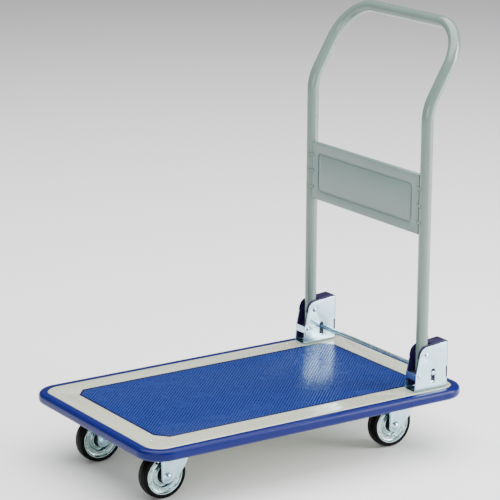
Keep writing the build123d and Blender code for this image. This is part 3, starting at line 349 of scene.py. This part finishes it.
class Recipe:
    """A Geometry Nodes tree with named inputs, which is baked into a plain mesh."""

    def __init__(self, name):
        self.tree = bpy.data.node_groups.new(name, "GeometryNodeTree")
        self.tree.interface.new_socket("Geometry", in_out="INPUT", socket_type="NodeSocketGeometry")
        self.tree.interface.new_socket("Geometry", in_out="OUTPUT", socket_type="NodeSocketGeometry")
        self.source = self.tree.nodes.new("NodeGroupInput")
        self.values = {}

    def size(self, name, value, kind="NodeSocketFloat"):
        """A named input with its value, and its socket inside the tree."""
        self.tree.interface.new_socket(name, in_out="INPUT", socket_type=kind)
        self.values[name] = value
        return self.source.outputs[name]

    def add(self, kind, settings=None, inputs=None, output=0):
        node = self.tree.nodes.new(kind)
        for setting, value in (settings or {}).items():
            setattr(node, setting, value)
        for socket, value in (inputs or {}).items():
            for wire in value if isinstance(value, list) else [value]:
                if isinstance(wire, bpy.types.NodeSocket):
                    self.tree.links.new(wire, node.inputs[socket])
                else:
                    node.inputs[socket].default_value = wire
        return node.outputs[output]

    def baked(self, geometry, points, edges, finish, attributes=None):
        """Run the tree on a mesh of points and edges, and return the plain mesh."""
        real = self.add("GeometryNodeRealizeInstances", None, {"Geometry": geometry})
        painted = self.add("GeometryNodeSetMaterial", None, {"Geometry": real, "Material": finish})
        self.tree.links.new(painted, self.tree.nodes.new("NodeGroupOutput").inputs[0])
        start = bpy.data.meshes.new(self.tree.name)
        start.from_pydata([tuple(point) for point in points], edges, [])
        for name, numbers in (attributes or {}).items():
            start.attributes.new(name, "FLOAT", "POINT").data.foreach_set("value", numbers)
        holder = bpy.data.objects.new(self.tree.name, start)
        bpy.context.scene.collection.objects.link(holder)
        modifier = holder.modifiers.new("recipe", "NODES")
        modifier.node_group = self.tree
        for item in self.tree.interface.items_tree:
            if item.in_out == "INPUT" and item.name in self.values:
                modifier[item.identifier] = self.values[item.name]
        graph = bpy.context.evaluated_depsgraph_get()
        mesh = bpy.data.meshes.new_from_object(holder.evaluated_get(graph))
        bpy.data.objects.remove(holder)
        return mesh


def turned(profile, middle, steps=96):
    """A closed ring: an outline of (radius, along) points turned round an axle through `middle`."""
    form = bmesh.new()
    rings = []
    for step in range(steps):
        angle = 2 * math.pi * step / steps
        spin = Vector((math.cos(angle), 0, math.sin(angle)))
        places = [middle + spin * radius + Vector((0, along, 0)) for radius, along in profile]
        rings.append([form.verts.new(place) for place in places])
    for one, two in zip(rings, rings[1:] + rings[:1]):
        for i in range(len(profile)):
            j = (i + 1) % len(profile)
            form.faces.new((one[i], one[j], two[j], two[i]))
    bmesh.ops.recalc_face_normals(form, faces=form.faces)
    return form


def meshed(name, *forms):
    """Join bmesh forms into one mesh."""
    whole = bmesh.new()
    for form in forms:
        part = bpy.data.meshes.new("part")
        form.to_mesh(part)
        form.free()
        whole.from_mesh(part)
        bpy.data.meshes.remove(part)
    mesh = bpy.data.meshes.new(name)
    whole.to_mesh(mesh)
    whole.free()
    return mesh


def middle_of(node):
    low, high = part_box(node)
    return (low + high) / 2


# %% [markdown]
# ## Pressed steel
# The brackets, forks, caster plates, channels, panel and liners keep their CAD shape. They could
# be drawn again from their outlines, but the CAD sheet already has each bend and hole. So only the
# cut edges are eased, by a fraction of a millimetre, so that each one catches the light.

# %% Pressed steel and liners
EASED = {
    "platform_tray": 0.25, "left_bracket": 0.45, "right_bracket": 0.45, "left_bracket_liner": 0.40,
    "right_bracket_liner": 0.40, "handle_panel": 0.40, "handle_panel_tabs": 0.25, "front_cross_channel": 0.30,
    "rear_cross_channel": 0.30, "front_left_fork": 0.40, "front_right_fork": 0.40, "rear_left_fork": 0.40,
    "rear_right_fork": 0.40, "rear_left_top_plate": 0.30, "rear_right_top_plate": 0.30, "lock_bar": 0.50,
    "bracket_backing_plates": 0.25,
}
# The handle panel takes the painted-light copy of the handle enamel.
for node, width in EASED.items():
    softened(node, width * MM, PANEL_SAGE_PAINTED_LIGHT if node == "handle_panel" else None)
print(len(EASED), "eased pieces")

# %% [markdown]
# ## Handle
# The handle is one tube, bent four times. A curve object with a bevel would do, but its corners
# would all have to be handles placed by hand. Here the centre line is six corners, and a Geometry
# Nodes tree rounds each one by its own bend and runs a circle along it. The corners come from the
# CAD tube's box: its legs, its back and its top.

# %% Handle tube
TUBE_RADIUS = 12.7 * MM
CRANK_BEND = 100 * MM
GRIP_BEND = 88 * MM
CRANK_BELOW_GRIP = 161 * MM
TUBE_SIDES = 40
BEND_STEPS = 28
low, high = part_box("handle_tube")
leg_x = high.x - TUBE_RADIUS
leg_y = high.y - TUBE_RADIUS
grip_x = low.x + TUBE_RADIUS
grip_z = high.z - TUBE_RADIUS
corners = [(leg_x, leg_y, low.z), (leg_x, leg_y, grip_z - CRANK_BELOW_GRIP), (grip_x, leg_y, grip_z)]
corners += [(x, -y, z) for x, y, z in reversed(corners)]
bends = [0, CRANK_BEND, GRIP_BEND, GRIP_BEND, CRANK_BEND, 0]

recipe = Recipe("bent_tube")
radius = recipe.size("Tube radius", TUBE_RADIUS)
sides = recipe.size("Sides", TUBE_SIDES, "NodeSocketInt")
steps = recipe.size("Steps in a bend", BEND_STEPS, "NodeSocketInt")
line = recipe.add("GeometryNodeMeshToCurve", None, {"Mesh": recipe.source.outputs["Geometry"]})
bend = recipe.add("GeometryNodeInputNamedAttribute", {"data_type": "FLOAT"}, {"Name": "bend"})
fillet = {"Curve": line, "Count": steps, "Radius": bend, "Limit Radius": True}
rounded = recipe.add("GeometryNodeFilletCurve", {"mode": "POLY"}, fillet)
ring = recipe.add("GeometryNodeCurvePrimitiveCircle", None, {"Resolution": sides, "Radius": radius})
sweep = {"Curve": rounded, "Profile Curve": ring, "Fill Caps": True}
tube = recipe.add("GeometryNodeCurveToMesh", None, sweep)
edges = [(i, i + 1) for i in range(len(corners) - 1)]
mesh = recipe.baked(tube, corners, edges, SAGE, {"bend": bends})
finished("handle_tube_finish", mesh, SAGE, ["handle_tube"])
print("handle tube has", len(mesh.polygons), "faces")

# %% [markdown]
# ## Edge bumper
# The bumper is one moulded section swept round the tray. The section is a face with rounded edges
# and a lip that hooks under the tray's edge. A curve object could carry it too, but here the
# section is set down at stations in plain view: at each corner it turns about the tray's own corner
# centre, and a straight run needs only its two ends.

# %% Edge bumper
BUMPER_CORNER = 55 * MM
BUMPER_THICKNESS = 18 * MM
BUMPER_ROUNDING = 8 * MM
LIP_REACH = 7 * MM
SKIN = 0.2 * MM
CORNER_STEPS = 24
ARC_STEPS = 8
low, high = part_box("edge_bumper")
tray_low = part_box("platform_tray")[0]


def arc(middle, size, start, end, steps):
    """Points round part of a circle, from one angle to another in degrees."""
    turns = [math.radians(start + (end - start) * step / steps) for step in range(steps + 1)]
    return [(middle[0] + size * math.cos(turn), middle[1] + size * math.sin(turn)) for turn in turns]


rim = BUMPER_THICKNESS - BUMPER_ROUNDING
face = arc((rim, low.z + BUMPER_ROUNDING), BUMPER_ROUNDING, -90, 0, ARC_STEPS)
face += arc((rim, high.z - BUMPER_ROUNDING), BUMPER_ROUNDING, 0, 90, ARC_STEPS)
hook = tray_low.z - SKIN
inside = [(SKIN, high.z), (SKIN, hook), (-LIP_REACH, hook), (-LIP_REACH, low.z)]
section = face + inside
turn_radius = BUMPER_CORNER - BUMPER_THICKNESS
half_run = (high.x - low.x) / 2 - BUMPER_CORNER
stations = []
for quarter, (sx, sy) in enumerate([(1, 1), (-1, 1), (-1, -1), (1, -1)]):
    centre = Vector(((low.x + high.x) / 2 + sx * half_run, sy * (high.y - BUMPER_CORNER), 0))
    for step in range(CORNER_STEPS + 1):
        angle = math.pi / 2 * (quarter + step / CORNER_STEPS)
        stations.append((centre, Vector((math.cos(angle), math.sin(angle), 0))))
form = bmesh.new()
loops = [
    [form.verts.new(centre + out * (turn_radius + reach) + Vector((0, 0, z))) for reach, z in section]
    for centre, out in stations
]
for one, two in zip(loops, loops[1:] + loops[:1]):
    for i in range(len(section)):
        j = (i + 1) % len(section)
        form.faces.new((one[i], two[i], two[j], one[j]))
bmesh.ops.recalc_face_normals(form, faces=form.faces)
finished("edge_bumper_finish", meshed("edge_bumper", form), BUMPER_BLUE, ["edge_bumper"])
print("bumper section has", len(section), "points")

# %% [markdown]
# ## Mat
# The mat is a vinyl sheet with a raised grain of small lozenges in staggered rows. A bump pattern
# would be cheaper, but it looks flat from a low angle. So Geometry Nodes lays two grids of
# points, one shifted by half a step, drops the points outside the cut corners, and puts a low
# lozenge of a few faces on each one that is left.

# %% Mat
GRAIN_PITCH = 8.0 * MM
GRAIN_HEIGHT = 0.6 * MM
GRAIN_EDGE = 3.5 * MM
CUT_LENGTH = 22 * MM
CUT_WIDTH = 26 * MM
LOZENGE_TOP = 1.5 * MM
LOZENGE_FOOT = 2.7 * MM
LOZENGE_STRETCH = (1.15, 0.85, 1)
SUNK = 0.1 * MM
low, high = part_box("deck_mat")
half = (high - low) / 2
recipe = Recipe("mat_grain")
pitch = recipe.size("Pitch", GRAIN_PITCH)
height = recipe.size("Grain height", GRAIN_HEIGHT)
point = recipe.add("GeometryNodeInputPosition")
axes = {name: recipe.add("ShaderNodeSeparateXYZ", None, {0: point}, name) for name in "XY"}


def maths(operation, first, second):
    return recipe.add("ShaderNodeMath", {"operation": operation}, {0: first, 1: second})


across = maths("ABSOLUTE", axes["X"], 0.0)
aside = maths("ABSOLUTE", axes["Y"], 0.0)
past_length = maths("SUBTRACT", across, half.x - CUT_LENGTH - GRAIN_EDGE)
past_width = maths("SUBTRACT", aside, half.y - CUT_WIDTH - GRAIN_EDGE)
slant = maths("ADD", maths("DIVIDE", past_length, CUT_LENGTH), maths("DIVIDE", past_width, CUT_WIDTH))
cut = maths("GREATER_THAN", slant, 1.0)
count_x = int((2 * (half.x - GRAIN_EDGE)) / GRAIN_PITCH)
count_y = int((2 * (half.y - GRAIN_EDGE)) / GRAIN_PITCH)
size_x = maths("MULTIPLY", pitch, float(count_x - 1))
size_y = maths("MULTIPLY", pitch, float(count_y - 1))
sizes = {"Size X": size_x, "Size Y": size_y, "Vertices X": count_x, "Vertices Y": count_y}
grids = []
for shift in (0, 0.5):
    grid = recipe.add("GeometryNodeMeshGrid", None, sizes)
    slide = maths("MULTIPLY", pitch, shift)
    step = recipe.add("ShaderNodeCombineXYZ", None, {0: slide, 1: slide})
    grids.append(recipe.add("GeometryNodeTransform", None, {"Geometry": grid, "Translation": step}))
field = recipe.add("GeometryNodeJoinGeometry", None, {"Geometry": grids})
kept = recipe.add("GeometryNodeDeleteGeometry", {"domain": "POINT"}, {"Geometry": field, "Selection": cut})
cone = {"Vertices": 4, "Radius Top": LOZENGE_TOP, "Radius Bottom": LOZENGE_FOOT, "Depth": height}
lozenge = recipe.add("GeometryNodeMeshCone", {"fill_type": "NGON"}, {**cone, "Side Segments": 1})
copies = {"Points": kept, "Instance": lozenge, "Scale": LOZENGE_STRETCH}
grains = recipe.add("GeometryNodeInstanceOnPoints", None, copies)
top_of_mat = (*middle_of("deck_mat").xy, high.z - SUNK)
placed = recipe.add("GeometryNodeTransform", None, {"Geometry": grains, "Translation": top_of_mat})
# The grain takes the lighter, painted-highlight copy of the mat vinyl.
grain_mesh = recipe.baked(placed, [(0, 0, 0)], [], GRAIN_HIGHLIGHT_BLUE)
finished("deck_mat_grain", grain_mesh, GRAIN_HIGHLIGHT_BLUE, [], "cart")
softened("deck_mat", 0.3 * MM)
print("mat grain has", len(grain_mesh.polygons), "faces")

# %% [markdown]
# ## Wheels
# Each wheel is a ring of solid rubber between two pressed discs. The tyre has rounded shoulders, a
# moulding line round the tread and a step in its wall. Each disc is dished in rings, and its rim
# and lip stand out. Both are round, so an outline in millimetres is turned about the axle. A Screw
# modifier could turn it too, but its piece would need a place of its own.

# %% Wheels
TYRE_STEPS = 112
RIM = 40.7


def mirrored(outline):
    """Close a half outline with its mirror image across the wheel's middle."""
    return outline + [(radius, -along) for radius, along in reversed(outline)]


def metres(outline):
    return [(radius * MM, along * MM) for radius, along in outline]


TYRE_HALF = [
    (27.0, 7.2), (35.5, 7.2), (39.5, 11.0), (RIM, 11.0), (RIM, 12.7), (41.4, 13.2),
    (42.6, 13.5), (44.0, 13.5), (44.4, 13.2), (45.2, 13.2), (46.4, 13.0), (47.6, 12.4),
    (48.5, 11.2), (48.9, 9.8), (49.4, 7.0), (49.7, 4.0), (49.75, 0.9), (50.0, 0.5),
]
DISC_FACE = [
    (40.5, 12.4), (39.9, 12.7), (38.6, 12.5), (37.4, 10.9), (36.2, 8.9), (35.3, 8.4),
    (28.6, 8.4), (27.6, 8.6), (26.6, 7.8), (24.0, 5.0), (23.0, 4.2), (20.6, 4.2),
    (19.4, 5.4), (18.2, 8.6), (17.6, 9.0), (16.8, 9.0), (16.9, 8.4), (18.3, 3.2),
    (22.2, 3.2), (26.2, 7.2), (35.3, 7.2), (39.3, 11.2), (40.5, 11.2),
]
tyre_outline = mirrored(metres(TYRE_HALF))
outer_disc = metres(DISC_FACE)
inner_disc = [(radius, -along) for radius, along in outer_disc]
for end in ("front", "rear"):
    for side in ("left", "right"):
        tyre = f"{end}_{side}_tyre"
        discs = f"{end}_{side}_wheel_discs"
        axle = middle_of(tyre)
        rubber = meshed(tyre, turned(tyre_outline, axle, TYRE_STEPS))
        finished(tyre + "_finish", rubber, RUBBER, [tyre])
        steel = meshed(discs, turned(outer_disc, axle), turned(inner_disc, axle))
        finished(discs + "_finish", steel, DISC_ZINC, [discs])
        frame["nodes"][f"{end}_{side}_wheel_rivets"].data.materials[0] = DISC_ZINC
print("4 tyres and 8 discs")

# %% [markdown]
# ## Springs of the lock bar
# A coil spring stands under each end of the lock bar, in the bracket. A spiral with a circle run
# along it is a spring, and one tree makes both. When a foot presses the real bar the spring
# shortens, but this piece keeps its length: it is not squashed with the joint that moves the bar.

# %% Springs
SPRING_TURNS = 7.0
SPRING_WIRE = 0.5 * MM
STEPS_IN_A_TURN = 20
WIRE_SIDES = 8
low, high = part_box("lock_bar_springs")
coil = (high.x - low.x) / 2 - SPRING_WIRE
foot_y = high.y - coil - SPRING_WIRE
feet = [((low.x + high.x) / 2, side * foot_y, low.z + SPRING_WIRE) for side in (1, -1)]
press = next(joint for joint in frame["joints"] if joint["name"] == "lock_bar_press")
travel = max(abs(limit) for limit in press["range_m"])
recipe = Recipe("coil_spring")
coil_radius = recipe.size("Coil radius", coil)
turns = recipe.size("Turns", SPRING_TURNS)
tall = recipe.size("Height", high.z - low.z - 2 * SPRING_WIRE)
sizes = {"Resolution": STEPS_IN_A_TURN, "Rotations": turns, "Height": tall}
sizes.update({"Start Radius": coil_radius, "End Radius": coil_radius})
spiral = recipe.add("GeometryNodeCurveSpiral", None, sizes)
circle = {"Resolution": WIRE_SIDES, "Radius": SPRING_WIRE}
wire = recipe.add("GeometryNodeCurvePrimitiveCircle", None, circle)
sweep = {"Curve": spiral, "Profile Curve": wire, "Fill Caps": True}
solid = recipe.add("GeometryNodeCurveToMesh", None, sweep)
copies = {"Points": recipe.source.outputs["Geometry"], "Instance": solid}
springs = recipe.add("GeometryNodeInstanceOnPoints", None, copies)
spring_mesh = recipe.baked(springs, feet, [], SPRING)
piece = finished("lock_bar_springs_finish", spring_mesh, SPRING, ["lock_bar_springs"])
1 - travel / (high.z - low.z)
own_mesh(piece)
print("springs have", len(spring_mesh.polygons), "faces")

# %% [markdown]
# ## Weld beads
# Each tab that holds the panel is welded to the leg. A weld bead is a row of small overlapping
# drops along the end of its tab. One long lump would look like glue, so Geometry Nodes spaces
# drops along a short line.

# %% Weld beads
BEAD_RADIUS = 0.9 * MM
BEAD_DROPS = 6
BEAD_SHAPE = (0.6, 1.0, 0.8)
BEAD_DEPTH = 0.99
BEAD_ASIDE = 1.6 * MM
BEAD_LENGTH = 5.0 * MM


def bead_starts():
    """The lower end of each bead: a short upright line where a tab's end meets the leg."""
    low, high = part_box("handle_panel_tabs")
    middle = (low.z + high.z) / 2
    pitch = (high.z - low.z - BEAD_LENGTH) / 2
    x = leg_x + TUBE_RADIUS * BEAD_DEPTH
    starts = []
    for side in (1, -1):
        for step in (-1, 0, 1):
            z = middle + step * pitch - BEAD_LENGTH / 2
            starts.append(Vector((x, side * (leg_y + BEAD_ASIDE), z)))
    return starts


starts = bead_starts()
points = [start + Vector((0, 0, BEAD_LENGTH * end)) for start in starts for end in (0, 1)]
recipe = Recipe("weld_beads")
drop_radius = recipe.size("Drop radius", BEAD_RADIUS)
drops = recipe.size("Drops", BEAD_DROPS, "NodeSocketInt")
line = recipe.add("GeometryNodeMeshToCurve", None, {"Mesh": recipe.source.outputs["Geometry"]})
spaced = recipe.add("GeometryNodeResampleCurve", None, {"Curve": line, "Count": drops})
drop = recipe.add("GeometryNodeMeshIcoSphere", None, {"Radius": drop_radius, "Subdivisions": 2})
copies = {"Points": spaced, "Instance": drop, "Scale": BEAD_SHAPE}
beads = recipe.add("GeometryNodeInstanceOnPoints", None, copies)
lines = [(2 * i, 2 * i + 1) for i in range(len(starts))]
bead_mesh = recipe.baked(beads, points, lines, SAGE)
finished("panel_weld_beads", bead_mesh, SAGE, [], "handle")
print("weld beads have", len(bead_mesh.polygons), "faces")

# %% [markdown]
# ## Floor and light
# The floor is plain and pale. An image of a studio could light the cart, but area lights keep the
# file whole. Light comes from a wide sheet overhead, a broad panel on the right that brightens the
# right side of each tube, and a weaker one from the front.

# %% Floor and light
FLOOR_SIZE = 14
FLOOR_DROP = 0.5 * MM
FLOOR_PAPER = (0.88, 0.88, 0.88)
WORLD_LIGHT = 0.22
bpy.ops.mesh.primitive_plane_add(size=FLOOR_SIZE, location=(0, 0, -FLOOR_DROP))
floor = bpy.context.object
floor.name = "floor"
floor_finish = Finish("floor_paper", FLOOR_PAPER, roughness=0.8)
floor.data.materials.append(floor_finish.material)

world = bpy.data.worlds.new("studio")
world.use_nodes = True
world.node_tree.nodes["Background"].inputs["Color"].default_value = (1.0, 1.0, 1.0, 1)
world.node_tree.nodes["Background"].inputs["Strength"].default_value = WORLD_LIGHT
bpy.context.scene.world = world


def soft_light(name, place, aim, width, height, power):
    """A panel of light, in metres and watts, turned to face a point."""
    data = bpy.data.lights.new(name, "AREA")
    data.shape = "RECTANGLE"
    data.size = width
    data.size_y = height
    data.energy = power
    lamp = bpy.data.objects.new(name, data)
    lamp.location = place
    lamp.rotation_euler = (Vector(aim) - Vector(place)).to_track_quat("-Z", "Y").to_euler()
    bpy.context.scene.collection.objects.link(lamp)


soft_light("overhead", (0.0, 0.0, 4.2), (0, 0, 0), width=6.0, height=6.0, power=610)
soft_light("right_panel", (-2.6, 2.2, 1.4), (0, 0, 0.5), width=1.8, height=2.6, power=230)
soft_light("front_panel", (3.0, 2.4, 1.2), (0, 0, 0.2), width=2.4, height=1.4, power=45)
print(len(bpy.data.lights), "lights")
